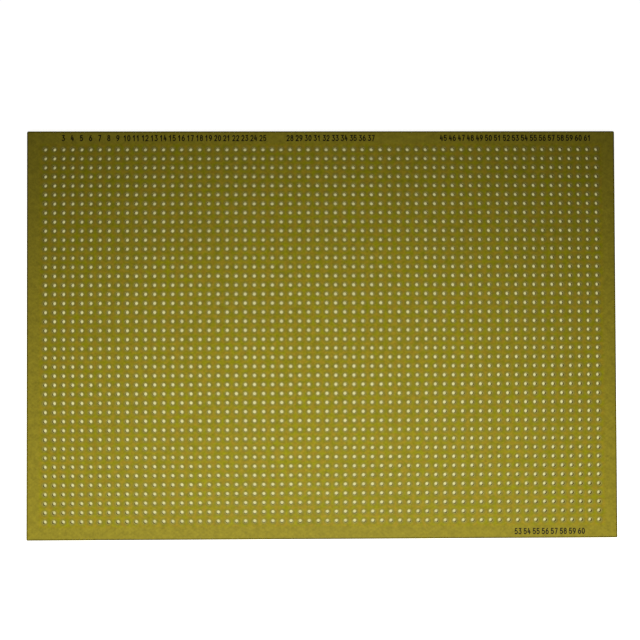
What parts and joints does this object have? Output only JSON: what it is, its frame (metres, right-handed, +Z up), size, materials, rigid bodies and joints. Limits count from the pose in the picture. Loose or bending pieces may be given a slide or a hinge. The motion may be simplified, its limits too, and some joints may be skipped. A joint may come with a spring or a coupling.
{
  "type": "perforated board",
  "caption": "Flat rectangular glass-epoxy sheet drilled all over with a square grid of small plain holes for component leads.",
  "frame": {"origin": "centre of the underside", "axes": "+X along the long side, +Y along the short side, +Z up through the thickness to the printed face"},
  "size_m": [0.165, 0.1142, 0.0016],
  "materials": {
    "laminate": "satin",
    "ink": "satin"
  },
  "bodies": {
    "root": {"board": "laminate", "numbers": "ink"}
  },
  "joints": []
}
